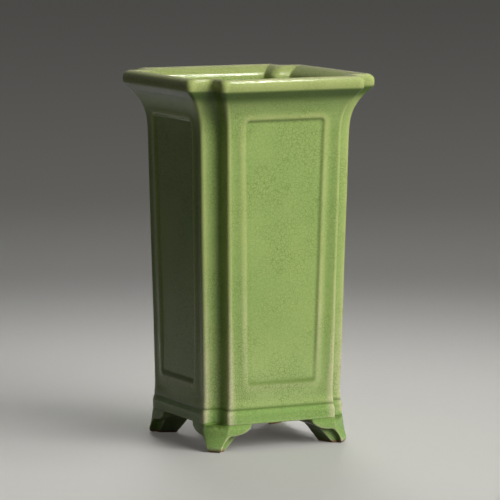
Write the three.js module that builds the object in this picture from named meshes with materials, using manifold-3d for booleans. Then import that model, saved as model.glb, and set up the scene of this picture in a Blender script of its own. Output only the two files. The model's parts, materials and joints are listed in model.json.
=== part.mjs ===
// Square flower pot with indented corners, a flared mouth under a rolled lip, a plinth band
// and four bracket feet. It is slab built: the slabs, strips and feet are cut or pressed from
// clay, luted together edge to edge and fired as one.
// Millimetres, +Z up. The origin is on the ground under the middle of the pot.
import * as THREE from "three";
import { mergeVertices } from "three/addons/utils/BufferGeometryUtils.js";
import Module from "manifold-3d";

const wasm = await Module();
wasm.setup();

// Heights, from the ground up
const footHeight = 21.5;
const bandHeight = 12.1;
const bodyHeight = 214.4;
const flareHeight = 37.5;
const lipRollBelow = 9.0;
const lipRollAbove = 5.5;

// Widths across two faces
const bodyFootWidth = 123.9;
const bodyShoulderWidth = 133.9;
const lipWidth = 168.4;

// Indented corners: how far each one is let in, and how its edges are rounded
const notchFoot = 14.6;
const notchShoulder = 15.7;
const notchRim = 20.3;
const notchFillet = 4.0;
const notchInnerFillet = 6.0;
const arrisRadius = 2.6;
const lipArrisRadius = 4.5;
const innerArrisRadius = 1.2;

// Thicknesses
const wallThickness = 6.0;
const notchWeb = 4.6;
const bandThickness = 7.0;

// Lip section: how far it stands out past the flare, and its crest and mouth inside that
const lipOverhang = 5.1;
const lipCrestInset = 5.2;
const lipBreadth = 21.7;
const lipCurlIn = 0.7;
const lipCurlUp = 2.7;
const lipInnerRun = 14.0;
const lipInnerDrop = 9.0;

// Foot of the walls: a hollow curve that spreads them onto the plinth band
const coveReach = 0.9;
const coveHeight = 7.0;

// Plinth band section
const bandStep = 0.6;
const bandTopSlope = 1.2;
const bandTopRun = 0.8;
const bandBottomRound = 0.8;

// Face border: a strip let in between the arris and the raised frame of the panel
const grooveDepth = 0.5;
const grooveHeight = 1.6;
const borderSink = 0.7;
const borderFoot = 3.4;
const borderBelowFlareTop = 23.5;
const borderStep = 0.8;
const arrisBeadRun = 1.6;
const seamLand = 1.2;

// Panel: raised frame round a sunk field
const frameBeadWidth = 4.4;
const frameBeadRise = 0.95;
const frameToSeam = 1.2;
const panelAboveBand = 20.0;
const panelBelowFlareTop = 20.0;
const panelNarrowing = 4.2;
const panelDepth = 1.9;
const panelSlope = 1.5;
const panelCorner = 4.0;
const panelGrooveWidth = 2.0;
const panelGrooveDepth = 0.5;

// Drain hole in the floor
const drainDiameter = 16.0;

// Bracket feet, in distances from the middle of the pot along a face
const bracketStart = 25.0;
const bracketCusp = 46.5;
const bracketCuspDrop = 9.1;
const toeInner = 54.2;
const toeFaceWidth = 127.2;
const toeChamferUpper = 15.4;
const toeChamferLower = 9.0;
const toeUnder = 1.3;
const kneeBulge = 0.9;
const kneeSwell = 0.6;

// Pad of clay pressed in behind the brackets: its inner corner and its sides at three levels
const padSoleCorner = 43.0;
const padSoleSide = 49.2;
const padKneeHeight = 12.0;
const padKneeCorner = 36.0;
const padKneeSide = 38.0;
const padTopCorner = 29.0;
const padTopSide = 30.0;
const padSetBack = 6.3;
const padCut = 4.0;

// Facets
const flareSteps = 8;
const rollSteps = 5;
const arcSteps = 3;
const bracketSteps = 5;
const drainSides = 32;
const weldDistance = 1e-3;

// Levels and half widths that follow from the sizes above
const bandTop = footHeight + bandHeight;
const shoulder = bandTop + bodyHeight;
const lipSeat = shoulder + flareHeight;
const lipEquator = lipSeat + lipRollBelow;
const rimTop = lipEquator + lipRollAbove;
const footHalf = bodyFootWidth / 2;
const shoulderHalf = bodyShoulderWidth / 2;
const lipHalf = lipWidth / 2;
const flareHalf = lipHalf - lipOverhang;
const crestHalf = lipHalf - lipCrestInset;
const mouthHalf = lipHalf - lipBreadth;
const bandHalf = footHalf + coveReach + bandStep;
const taper = (shoulderHalf - footHalf) / bodyHeight;
const arrisFoot = footHalf - notchFoot;
const arrisShoulder = shoulderHalf - notchShoulder;
const blockFoot = arrisFoot - notchWeb;
const blockShoulder = arrisShoulder - notchWeb;
const seam = blockFoot - innerArrisRadius - seamLand;
const borderTop = lipSeat - borderBelowFlareTop;
const borderBottom = bandTop + borderFoot;
const coveTop = borderBottom + coveHeight;
const panelTop = bodyHeight + flareHeight - panelBelowFlareTop;

const glaze = { color: 0x94a765, roughness: 0.22, metalness: 0 };
const thinGlaze = { color: 0xa5ab72, roughness: 0.2, metalness: 0 };
const deepGlaze = { color: 0x5f7a45, roughness: 0.2, metalness: 0 };
const firedClay = { color: 0x9a6a48, roughness: 0.85, metalness: 0 };

// Spread of the foot of a wall at a height.
function coveAt(z) {
  return coveReach * Math.max(0, (coveTop - z) / (coveTop - bandTop)) ** 2;
}

// Half width of a face at a height: a straight taper, then a cubic sweep out to the lip.
function faceHalf(z) {
  const straight = footHalf + taper * (z - bandTop);
  const rise = Math.max(0, (z - shoulder) / flareHeight);
  const reach = flareHalf - (shoulderHalf + taper * flareHeight);
  return straight + reach * rise ** 3 + coveAt(z);
}

// Distance from the middle to the arris beside an indented corner.
function arrisAt(z) {
  const half = faceHalf(z);
  if (z <= shoulder) {
    return arrisFoot + ((arrisShoulder - arrisFoot) * (z - bandTop)) / bodyHeight + coveAt(z);
  }
  return half - notchAt(half);
}

function notchAt(half) {
  const share = (half - shoulderHalf) / (lipHalf - shoulderHalf);
  return notchShoulder + (notchRim - notchShoulder) * share;
}

// A point of a wall's section: half width, height, arris, radii and how far the border is let in.
function outer(half, z, arris, sink = 0, radius = arrisRadius) {
  return { half, z, arris, sink, radius, fillet: notchFillet };
}

function inner(half, z, arris) {
  return { half, z, arris, sink: 0, radius: innerArrisRadius, fillet: notchInnerFillet };
}

// Closed section of the wall slabs and corner strips, up the outside and down the inside.
function wallSection() {
  const section = [];
  const sunkFrom = borderBottom + borderStep;
  section.push(outer(faceHalf(bandTop) - grooveDepth, bandTop, arrisAt(bandTop) - grooveDepth));
  section.push(outer(faceHalf(bandTop + grooveHeight), bandTop + grooveHeight, arrisAt(bandTop + grooveHeight)));
  section.push(outer(faceHalf(borderBottom), borderBottom, arrisAt(borderBottom)));
  for (const z of [sunkFrom, (sunkFrom + coveTop) / 2, coveTop, shoulder, borderTop - borderStep]) {
    section.push(outer(faceHalf(z), z, arrisAt(z), borderSink));
  }
  for (let i = 0; i <= flareSteps; i += 1) {
    const z = borderTop + ((lipSeat - borderTop) * i) / flareSteps;
    section.push(outer(faceHalf(z), z, arrisAt(z)));
  }
  section.push(inner(mouthHalf, lipSeat, blockShoulder));
  section.push(inner(shoulderHalf - wallThickness, shoulder, blockShoulder));
  section.push(inner(footHalf - wallThickness, bandTop, blockFoot));
  return section;
}

// Closed section of the rolled lip.
function lipSection() {
  const under = new THREE.QuadraticBezierCurve(
    new THREE.Vector2(flareHalf, lipSeat),
    new THREE.Vector2(lipHalf - lipCurlIn, lipSeat + lipCurlUp),
    new THREE.Vector2(lipHalf, lipEquator),
  );
  const over = new THREE.EllipseCurve(
    crestHalf, lipEquator, lipHalf - crestHalf, lipRollAbove, 0, Math.PI / 2,
  );
  const edge = new THREE.EllipseCurve(
    mouthHalf + lipInnerRun, rimTop - lipInnerDrop, lipInnerRun, lipInnerDrop, Math.PI / 2, Math.PI,
  );
  const crestArris = crestHalf - notchAt(crestHalf);
  const narrower = (crestArris - blockShoulder) / (crestHalf - mouthHalf);
  const outside = [...under.getPoints(rollSteps), ...over.getPoints(rollSteps).slice(1)];
  const section = outside.map((p) => {
    const share = (p.y - lipSeat) / (lipEquator - lipSeat);
    const radius = THREE.MathUtils.lerp(arrisRadius, lipArrisRadius, Math.min(1, share));
    return outer(p.x, p.y, p.x - notchAt(p.x), 0, radius);
  });
  for (const p of edge.getPoints(rollSteps)) {
    section.push(inner(p.x, p.y, blockShoulder + (p.x - mouthHalf) * narrower));
  }
  section.push(inner(mouthHalf, lipSeat, blockShoulder));
  return section;
}

// Closed section of the plinth band round the floor slab.
function bandSection() {
  const inside = bandHalf - bandThickness;
  const rows = [
    [bandHalf - bandBottomRound, footHeight],
    [bandHalf, footHeight + bandBottomRound],
    [bandHalf, (footHeight + bandTop) / 2],
    [bandHalf - bandTopRun / 2, bandTop - bandTopSlope],
    [bandHalf - bandTopRun, bandTop],
  ];
  const section = rows.map(([half, z]) => outer(half, z, half - notchFoot));
  section.push(inner(inside, bandTop, inside - notchFoot));
  section.push(inner(inside, footHeight, inside - notchFoot));
  return section;
}

// Places along half of a corner, from the face seam to the diagonal, as [along, out] pairs.
function halfCorner(p, start) {
  const turn = p.arris - p.radius;
  const places = [];
  places.push([start, p.half - p.sink]);
  places.push([Math.max(turn - arrisBeadRun, (start + turn) / 2), p.half - p.sink]);
  for (let i = 0; i <= arcSteps; i += 1) {
    const angle = ((Math.PI / 2) * i) / arcSteps;
    const along = turn + p.radius * Math.sin(angle);
    const out = p.half - p.radius + p.radius * Math.cos(angle);
    places.push([along, out]);
  }
  for (let i = 0; i <= arcSteps; i += 1) {
    const angle = ((Math.PI / 4) * i) / arcSteps;
    const along = p.arris + p.fillet * (1 - Math.cos(angle));
    const out = p.arris + p.fillet * (1 - Math.sin(angle));
    places.push(i < arcSteps ? [along, out] : [along, along]);
  }
  return places;
}

// Ring stations for a corner piece between two seams.
function cornerStations(p) {
  const half = halfCorner(p, seam);
  const front = half.map(([along, out]) => new THREE.Vector3(-along, -out, p.z));
  const side = half.slice(0, -1).map(([along, out]) => new THREE.Vector3(-out, -along, p.z));
  return [...front, ...side.reverse()];
}

// Ring stations for a strip along the front face, mitred on the diagonals at both ends.
function faceStations(p) {
  const half = halfCorner(p, 0);
  const left = half.map(([along, out]) => new THREE.Vector3(-along, -out, p.z));
  const right = half.slice(1).map(([along, out]) => new THREE.Vector3(along, -out, p.z));
  return [...left.reverse(), ...right];
}

// Merge shared corners and drop the triangles that close up to nothing.
function weld(geometry) {
  geometry.deleteAttribute("normal");
  geometry.deleteAttribute("uv");
  const merged = mergeVertices(geometry, weldDistance);
  const index = merged.getIndex().array;
  const kept = [];
  for (let i = 0; i < index.length; i += 3) {
    const [a, b, c] = index.slice(i, i + 3);
    if (a !== b && b !== c && c !== a) {
      kept.push(a, b, c);
    }
  }
  merged.setIndex(kept);
  return merged;
}

function closedGeometry(positions, indices) {
  const geometry = new THREE.BufferGeometry();
  geometry.setAttribute("position", new THREE.Float32BufferAttribute(positions, 3));
  geometry.setIndex(indices);
  return weld(geometry);
}

// A drawn outline as plain points, none on top of the one before.
function plainOutline(shape, steps) {
  const points = shape.getPoints(steps);
  return points.filter((p, i) => p.distanceTo(points.at(i - 1)) > weldDistance);
}

// Signed area of an outline, to keep the caps facing the same way as the skin.
function capTriangles(points) {
  const flat = points.map((p) => new THREE.Vector2(Math.max(Math.abs(p.x), Math.abs(p.y)), p.z));
  const sense = Math.sign(THREE.ShapeUtils.area(flat));
  return THREE.ShapeUtils.triangulateShape(flat, []).map((face) => {
    const area = THREE.ShapeUtils.area(face.map((i) => flat[i]));
    return Math.sign(area) === sense ? face : [face[0], face[2], face[1]];
  });
}

// Sweep a closed section through stations: each section point gives one row of places.
function sweepSection(section, stations) {
  const rows = section.map(stations);
  const count = rows[0].length;
  const positions = rows.flat().flatMap((p) => [p.x, p.y, p.z]);
  const indices = [];
  rows.forEach((row, i) => {
    const next = (i + 1) % rows.length;
    for (let j = 0; j < count - 1; j += 1) {
      const a = i * count + j;
      const b = next * count + j;
      indices.push(a, b, b + 1);
      indices.push(a, b + 1, a + 1);
    }
  });
  const last = count - 1;
  for (const [i, j, k] of capTriangles(rows.map((row) => row[0]))) {
    indices.push(i * count, k * count, j * count);
  }
  for (const [i, j, k] of capTriangles(rows.map((row) => row[last]))) {
    indices.push(i * count + last, j * count + last, k * count + last);
  }
  return outward(closedGeometry(positions, indices));
}

// Turn a closed mesh so that its faces point out.
function outward(geometry) {
  const place = geometry.getAttribute("position");
  const index = geometry.getIndex().array;
  const a = new THREE.Vector3();
  const b = new THREE.Vector3();
  const c = new THREE.Vector3();
  let volume = 0;
  for (let i = 0; i < index.length; i += 3) {
    a.fromBufferAttribute(place, index[i]);
    b.fromBufferAttribute(place, index[i + 1]);
    c.fromBufferAttribute(place, index[i + 2]);
    volume += a.dot(b.cross(c));
  }
  if (volume < 0) {
    geometry.setIndex([...index].reverse());
  }
  return geometry;
}

function toSolid(geometry) {
  const merged = weld(geometry.clone());
  const vertProperties = new Float32Array(merged.getAttribute("position").array);
  const triVerts = new Uint32Array(merged.getIndex().array);
  return new wasm.Manifold(new wasm.Mesh({ numProp: 3, vertProperties, triVerts }));
}

function fromSolid(solid) {
  const mesh = solid.getMesh();
  return closedGeometry(Array.from(mesh.vertProperties), Array.from(mesh.triVerts));
}

// An outline drawn as distance out from the middle against height, extruded along the front face.
function alongFace(shape, from, to) {
  const geometry = new THREE.ExtrudeGeometry(shape, { depth: to - from, bevelEnabled: false });
  const turn = new THREE.Matrix4().makeBasis(
    new THREE.Vector3(0, -1, 0),
    new THREE.Vector3(0, 0, 1),
    new THREE.Vector3(-1, 0, 0),
  );
  return geometry.applyMatrix4(turn).translate(to, 0, 0);
}

function sectionShape(section) {
  return new THREE.Shape(section.map((p) => new THREE.Vector2(p.half - p.sink, p.z)));
}

// Sides of a panel outline drawn in towards the foot, so that they follow the wall's taper.
function narrowed(p) {
  const share = (panelTop - p.y) / (panelTop - panelAboveBand);
  return new THREE.Vector2(p.x - Math.sign(p.x) * panelNarrowing * share, p.y);
}

// Rounded panel outline on a face, from its lower edge up.
function panelOutline(half, low, high, corner) {
  const outline = new THREE.Shape();
  outline.moveTo(-half + corner, low);
  outline.lineTo(half - corner, low);
  outline.absarc(half - corner, low + corner, corner, -Math.PI / 2, 0);
  outline.lineTo(half, high - corner);
  outline.absarc(half - corner, high - corner, corner, 0, Math.PI / 2);
  outline.lineTo(-half + corner, high);
  outline.absarc(-half + corner, high - corner, corner, Math.PI / 2, Math.PI);
  outline.lineTo(-half, low + corner);
  outline.absarc(-half + corner, low + corner, corner, Math.PI, Math.PI * 1.5);
  return plainOutline(outline, arcSteps).map(narrowed);
}

// A panel piece lies in the leaning plane of the front face. Depths count outward from that plane.
function onFace(outline, from, to, bevel, hole = []) {
  const shape = new THREE.Shape(outline);
  shape.holes = hole.map((points) => new THREE.Path(points));
  const geometry = new THREE.ExtrudeGeometry(shape, {
    depth: to - from - 2 * bevel,
    bevelEnabled: true,
    bevelThickness: bevel,
    bevelSize: bevel,
    bevelOffset: -bevel,
    bevelSegments: 2,
  });
  geometry.translate(0, 0, from + bevel);
  const lean = Math.atan(taper);
  geometry.rotateX(Math.PI / 2 + lean);
  return geometry.translate(0, -footHalf, bandTop);
}

// Wall slab: the extruded section with the panel's raised frame and sunk field pressed into it.
function wallGeometry() {
  const high = panelTop;
  const frameHalf = seam - frameToSeam;
  const fieldHalf = frameHalf - frameBeadWidth;
  const cover = panelDepth + frameBeadRise;
  const clear = flareHalf;
  const bead = panelOutline(frameHalf, panelAboveBand - frameBeadWidth, high + frameBeadWidth, panelCorner);
  const pocket = panelOutline(fieldHalf, panelAboveBand, high, panelCorner);
  const groove = panelOutline(fieldHalf - panelSlope, panelAboveBand + panelSlope, high - panelSlope, panelCorner);
  const island = panelOutline(
    fieldHalf - panelSlope - panelGrooveWidth,
    panelAboveBand + panelSlope + panelGrooveWidth,
    high - panelSlope - panelGrooveWidth,
    panelCorner,
  );
  const slab = toSolid(alongFace(sectionShape(wallSection()), -seam, seam));
  const frame = toSolid(onFace(bead, -cover, frameBeadRise - borderSink, frameBeadWidth / 4));
  const field = toSolid(onFace(pocket, -panelDepth, clear, panelSlope / 2));
  const gutter = toSolid(onFace(groove, -panelDepth - panelGrooveDepth, 0, panelGrooveDepth / 2, [island]));
  return fromSolid(slab.add(frame).subtract(field).subtract(gutter));
}

// Outline of the floor slab in plan: the same corner places as the band's inner side.
function floorGeometry() {
  const inside = bandHalf - bandThickness;
  const corner = halfCorner(inner(inside, footHeight, inside - notchFoot), 0).slice(2);
  const quarter = [...corner, ...corner.slice(0, -1).reverse().map(([along, out]) => [out, along])];
  const places = [];
  for (let turn = 0; turn < 4; turn += 1) {
    const spin = new THREE.Vector2();
    for (const [along, out] of quarter) {
      const place = new THREE.Vector2(along, out);
      places.push(place.rotateAround(spin, (-turn * Math.PI) / 2));
    }
  }
  const plan = new THREE.Shape(places);
  const drain = new THREE.Path();
  drain.absarc(0, 0, drainDiameter / 2, 0, Math.PI * 2);
  plan.holes.push(drain);
  const options = { depth: bandHeight, bevelEnabled: false, curveSegments: drainSides / 2 };
  return new THREE.ExtrudeGeometry(plan, options).translate(0, 0, footHeight);
}

// Level outlines of a foot's outside, from the sole up: face, chamfer and swell of the knee.
function footLevels() {
  const face = toeFaceWidth / 2;
  const top = bandHalf - bandBottomRound;
  const levels = [
    [0, face - toeUnder, toeChamferLower, 0.2],
    [0.05, face - toeUnder / 3, toeChamferLower, 0.3],
    [0.16, face, toeChamferLower, 0.5],
    [0.36, face - kneeSwell / 2, toeChamferLower + 2.4, 0.8],
    [0.58, face - kneeSwell / 3, toeChamferUpper - 1.6, 1],
    [0.8, face, toeChamferUpper, 1],
    [1, top, toeChamferUpper, 0.5],
  ];
  return levels.map(([share, half, chamfer, swell]) => ({
    z: share * footHeight,
    half,
    chamfer,
    swell: swell * kneeBulge,
  }));
}

// One level of the foot in plan, from the middle of one bracket round the knee to the other.
function footOutline(level) {
  const { half, chamfer, swell, z } = level;
  const places = [[bracketStart, bracketStart], [bracketStart, half]];
  const steps = 2 * arcSteps;
  for (let i = 0; i <= steps; i += 1) {
    const share = i / steps;
    const bow = swell * 4 * share * (1 - share) * Math.SQRT1_2;
    places.push([half - chamfer + chamfer * share + bow, half - chamfer * share + bow]);
  }
  places.push([half, bracketStart]);
  return places.map(([x, y]) => new THREE.Vector3(-x, -y, z));
}

// Skin level outlines into one closed solid with flat ends.
function loft(rings) {
  const count = rings[0].length;
  const positions = rings.flat().flatMap((p) => [p.x, p.y, p.z]);
  const indices = [];
  for (let i = 0; i < rings.length - 1; i += 1) {
    for (let j = 0; j < count; j += 1) {
      const a = i * count + j;
      const b = i * count + ((j + 1) % count);
      indices.push(a, b, b + count);
      indices.push(a, b + count, a + count);
    }
  }
  const flat = rings[0].map((p) => new THREE.Vector2(p.x, p.y));
  const sense = Math.sign(THREE.ShapeUtils.area(flat));
  const top = (rings.length - 1) * count;
  for (const face of THREE.ShapeUtils.triangulateShape(flat, [])) {
    const same = Math.sign(THREE.ShapeUtils.area(face.map((i) => flat[i]))) === sense;
    const [i, j, k] = same ? face : [face[0], face[2], face[1]];
    indices.push(i, k, j);
    indices.push(top + i, top + j, top + k);
  }
  return outward(closedGeometry(positions, indices));
}

// Side outline of a bracket foot: an ogee from the band down to a cusp, then a hollow to the toe.
function bracketShape() {
  const cuspHeight = footHeight - bracketCuspDrop;
  const run = bracketCusp - bracketStart;
  const far = lipHalf;
  const shape = new THREE.Shape();
  shape.moveTo(bracketStart, footHeight);
  shape.bezierCurveTo(
    bracketStart + run / 4, footHeight - bracketCuspDrop * 0.66,
    bracketStart + run / 2.4, cuspHeight,
    bracketCusp, cuspHeight,
  );
  shape.quadraticCurveTo(toeInner - (toeInner - bracketCusp) / 10, cuspHeight * 0.6, toeInner, 0);
  shape.lineTo(far, 0);
  shape.lineTo(far, footHeight);
  return shape;
}

// Intersect an outline seen from the front with the same outline seen from the side.
function crossCut(shape) {
  const outline = new THREE.Shape(plainOutline(shape, bracketSteps));
  const seenFromSide = alongFace(outline, -lipWidth, 0);
  const mirror = new THREE.Matrix4().makeBasis(
    new THREE.Vector3(0, 1, 0),
    new THREE.Vector3(-1, 0, 0),
    new THREE.Vector3(0, 0, 1),
  );
  const seenFromFront = alongFace(outline, 0, lipWidth).applyMatrix4(mirror.invert());
  return toSolid(seenFromSide).intersect(toSolid(seenFromFront));
}

// One level of the pad in plan: inner corner, side, and the cut outer corner.
function padOutline([z, corner, side]) {
  const far = toeFaceWidth / 2 - padSetBack;
  const half = [[corner, corner], [side, far], [far - padCut, far]];
  const rest = [[far, far - padCut], [far, side]];
  return [...half, ...rest].map(([x, y]) => new THREE.Vector3(-x, -y, z));
}

function padGeometry() {
  const levels = [
    [0, padSoleCorner, padSoleSide],
    [padKneeHeight, padKneeCorner, padKneeSide],
    [footHeight, padTopCorner, padTopSide],
  ];
  return loft(levels.map(padOutline));
}

// Bracket foot under the front left corner.
function footGeometry() {
  const outside = toSolid(loft(footLevels().map(footOutline)));
  const brackets = outside.intersect(crossCut(bracketShape()));
  return fromSolid(brackets.add(toSolid(padGeometry())));
}

const sides = ["front", "right", "back", "left"];
const corners = ["front_left", "front_right", "back_right", "back_left"];
const pot = new THREE.Group();

// One piece on each side or corner, each a quarter turn on from the one before.
function addAround(name, places, geometry, look) {
  places.forEach((place, i) => {
    const mesh = new THREE.Mesh(geometry, new THREE.MeshStandardMaterial(look));
    mesh.name = `${name}_${place}`;
    mesh.rotation.z = (i * Math.PI) / 2;
    pot.add(mesh);
  });
}

const floor = new THREE.Mesh(floorGeometry(), new THREE.MeshStandardMaterial(firedClay));
floor.name = "floor_slab";
pot.add(floor);
addAround("base_band", sides, sweepSection(bandSection(), faceStations), glaze);
addAround("wall", sides, wallGeometry(), glaze);
addAround("corner", corners, sweepSection(wallSection(), cornerStations), deepGlaze);
addAround("lip", sides, alongFace(sectionShape(lipSection()), -seam, seam), thinGlaze);
addAround("lip_corner", corners, sweepSection(lipSection(), cornerStations), thinGlaze);
addAround("foot", corners, footGeometry(), deepGlaze);

export default pot;
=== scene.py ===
# Square flower pot in crackled green glaze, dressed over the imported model.
import json
import math
import bmesh
import bpy
from mathutils import Matrix, Vector, noise

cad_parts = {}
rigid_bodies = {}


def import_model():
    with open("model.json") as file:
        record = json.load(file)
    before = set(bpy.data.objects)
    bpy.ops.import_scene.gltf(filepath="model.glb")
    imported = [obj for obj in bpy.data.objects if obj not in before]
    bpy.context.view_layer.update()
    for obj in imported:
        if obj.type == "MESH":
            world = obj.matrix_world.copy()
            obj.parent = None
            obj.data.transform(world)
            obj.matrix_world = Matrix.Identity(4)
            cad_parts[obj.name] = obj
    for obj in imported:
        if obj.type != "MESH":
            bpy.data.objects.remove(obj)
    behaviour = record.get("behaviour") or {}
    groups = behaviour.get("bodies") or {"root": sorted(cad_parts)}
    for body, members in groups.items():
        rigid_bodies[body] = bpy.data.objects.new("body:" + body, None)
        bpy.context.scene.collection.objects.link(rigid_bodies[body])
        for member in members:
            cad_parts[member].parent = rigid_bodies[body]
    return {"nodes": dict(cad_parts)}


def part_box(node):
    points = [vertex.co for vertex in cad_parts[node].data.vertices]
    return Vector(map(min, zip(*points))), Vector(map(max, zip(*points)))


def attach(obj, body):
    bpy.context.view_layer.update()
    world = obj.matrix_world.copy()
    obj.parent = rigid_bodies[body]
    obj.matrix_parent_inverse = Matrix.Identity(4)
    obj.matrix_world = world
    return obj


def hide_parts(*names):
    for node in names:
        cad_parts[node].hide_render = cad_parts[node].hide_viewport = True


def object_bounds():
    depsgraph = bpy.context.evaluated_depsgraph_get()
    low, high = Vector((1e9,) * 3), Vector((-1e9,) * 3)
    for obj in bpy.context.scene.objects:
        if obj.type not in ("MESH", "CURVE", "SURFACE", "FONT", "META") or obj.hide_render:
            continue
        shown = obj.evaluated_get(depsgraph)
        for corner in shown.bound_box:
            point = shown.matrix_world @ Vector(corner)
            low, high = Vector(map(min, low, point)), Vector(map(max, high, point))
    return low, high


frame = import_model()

bpy.context.view_layer.update()
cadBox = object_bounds()

sides = ["front", "right", "back", "left"]
corners = ["front_left", "front_right", "back_right", "back_left"]
# Shares per vertex: thin glaze, pooled glaze together with painted shade, and bare clay
glazeLayers = ("thinGlaze", "glazePoolAndShade", "bareClay")

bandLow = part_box("base_band_front")[0]
wallLow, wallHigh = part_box("wall_front")
lipLow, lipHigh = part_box("lip_front")
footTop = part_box("foot_front_left")[1].z

hair = 1e-6                      # in metres: less than this counts as nothing


# Small helpers

def mix(a, b, share):
    return a + (b - a) * share


def ease(share):
    share = min(1.0, max(0.0, share))
    return share * share * (3 - 2 * share)


def hump(distance, width):
    return math.exp(-(distance / width) ** 2)


# Even steps between stops: each stop is a place and the number of steps up to the next one.
def spread(stops):
    places = []
    for (start, steps), (end, _) in zip(stops, stops[1:]):
        places += [mix(start, end, i / steps) for i in range(steps)]
    return places + [stops[-1][0]]


# Places along an arc, from one angle to another
def arc(centre, radius, start, end, steps):
    angles = [mix(start, end, i / steps) for i in range(steps + 1)]
    return [(centre[0] + radius[0] * math.cos(a), centre[1] + radius[1] * math.sin(a)) for a in angles]


# Places along a curve from a to c that bends towards b
def bezier(a, b, c, steps):
    places = []
    for i in range(steps + 1):
        t = i / steps
        places.append(tuple((1 - t) ** 2 * a[k] + 2 * t * (1 - t) * b[k] + t * t * c[k] for k in (0, 1)))
    return places


def newPiece(name, bm):
    mesh = bpy.data.meshes.new(name)
    bm.to_mesh(mesh)
    bm.free()
    mesh.shade_smooth()
    piece = bpy.data.objects.new(name, mesh)
    bpy.context.scene.collection.objects.link(piece)
    return piece


# The body's section and plan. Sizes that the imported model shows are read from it.
bodyShape = {
    "footHalf": 0.06195,         # half width of a wall at the band, before it spreads
    "shoulderHalf": 0.06695,     # and where the flare starts
    "shoulder": 0.248,
    "flareHalf": -wallLow.y,
    "lipHalf": -lipLow.y,
    "mouthHalf": -lipHigh.y,
    "bandHalf": -bandLow.y,
    "bandFoot": bandLow.z,
    "bandTop": wallLow.z,
    "bandEdge": 0.0009,          # rounding of the band's lower edge
    "bandUnder": 0.002,          # the glaze fades out over this width under the band
    "bandSlope": 0.0038,         # height of the slope along the band's top
    "bandSlopeTurn": 0.0010,     # the face starts to round into it this far below
    "bandSlopeLead": 0.0012,
    "bandSeatIn": 0.0005,        # the slope ends this far behind the wall's face
    "seatGroove": 0.0003,        # crease where the wall stands on the band
    "seatGrooveWidth": 0.0013,
    "coveReach": 0.0009,         # how the foot of a wall spreads onto the band
    "coveHeight": 0.0104,
    "lipSeat": wallHigh.z,
    "rimTop": lipHigh.z,
    "wallThickness": 0.006,
    "bandThickness": 0.007,
    "notchFoot": 0.0146,         # how far a corner is let in, from the band to the lip
    "notchShoulder": 0.0157,
    "notchRim": 0.0203,
    "notchWeb": 0.0046,
    "notchFillet": 0.0040,
    "notchInnerFillet": 0.0060,
    "arrisRadius": 0.0027,
    "lipArrisRadius": 0.0048,
    "innerArrisRadius": 0.0014,
    "lipRoundHeight": 0.0055,    # rounding over the top of the lip
    "lipRoundWidth": 0.0052,
    "lipUnderEdge": 0.0042,      # where the roll's face turns under, above its seat
    "lipUnderIn": 0.0007,
    "lipUnderFlat": 0.72,        # share of the underside before it turns up
    "lipFaceStart": 0.0014,      # where that turn ends, above its edge and inside the full width
    "lipFaceIn": 0.0002,
    "lipInnerRun": 0.014,        # the rim's inner slope, across and down
    "lipInnerDrop": 0.009,
    "lipInnerShoulder": 0.0054,  # how far the rim slopes down before it turns into the mouth
    "lipInnerBulge": 0.0005,     # and how far short of the mouth's wall
    "lipInnerStart": 0.22,       # share of the run where the slope sets in
    "lipInnerStartDrop": 0.0009,
    "lipCrestIn": 0.0008,        # where it leaves the top, in from the end of the rounding
    "mouthLead": 0.0018,         # first row of the inside, below the rim's slope
}

# Relief pressed into each wall, as depths from the wall's face
panelShape = {
    "half": 0.0349,              # to the middle of the slope into the field, at its top
    "narrowing": 0.0044,         # the panel's sides follow the taper of the wall
    "leanEnd": 1.15,             # and do so to just below it
    "low": 0.0540,
    "high": 0.2654,
    "corner": 0.0030,
    "depth": 0.0012,
    "slope": 0.0028,
    "footSlope": 0.0060,         # the slope is gentler along the bottom
    "footStart": 0.006,          # from this far above its edge down
    "footBlend": 0.008,
    "footDepth": 0.0004,         # where the field comes up almost level with its frame
    "footRun": 0.030,
    "topDepth": 0.4,             # and shallower along the top, as a share of the depth
    "topRun": 0.012,
    "rightShift": 0.0008,        # the right edge of a panel lies this much further in
    "grooveDepth": 0.00012,      # a faint groove inside the slope
    "grooveAt": 0.0024,
    "grooveWidth": 0.0013,
    "crestAt": 0.0027,           # crest of the raised line, out from the slope
    "crestRise": 0.00032,
    "crestWidth": 0.0026,
    "channelSink": 0.00045,      # hollow between the raised line and the arris
    "channelStart": 0.22,        # share of that width which stays level
    "channelLow": 0.0370,
    "channelHigh": 0.2622,
    "channelEnd": 0.0060,
}

# The sheet's rows and columns are finest where it turns, measured from what they follow
sheetGrid = {
    "seatGap": 0.0002,           # above the band
    "seatRun": 0.0030,
    "panelLead": 0.0100,         # below the panel
    "panelOut": 0.0085,          # outside and inside the panel's lower and upper edge
    "panelIn": 0.0045,
    "lipGap": 0.0004,            # below the lip
    "lineLead": 0.0065,          # inside the panel's upright edges
    "lineIn": 0.0040,
    "lineOut": 0.0066,           # and outside them, past the raised line
    "insideRun": 0.030,          # below the end of the glaze inside
    "zones": (("border", 7), ("arris", 7), ("side", 7), ("fillet", 4)),     # steps past that line
}
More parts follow.
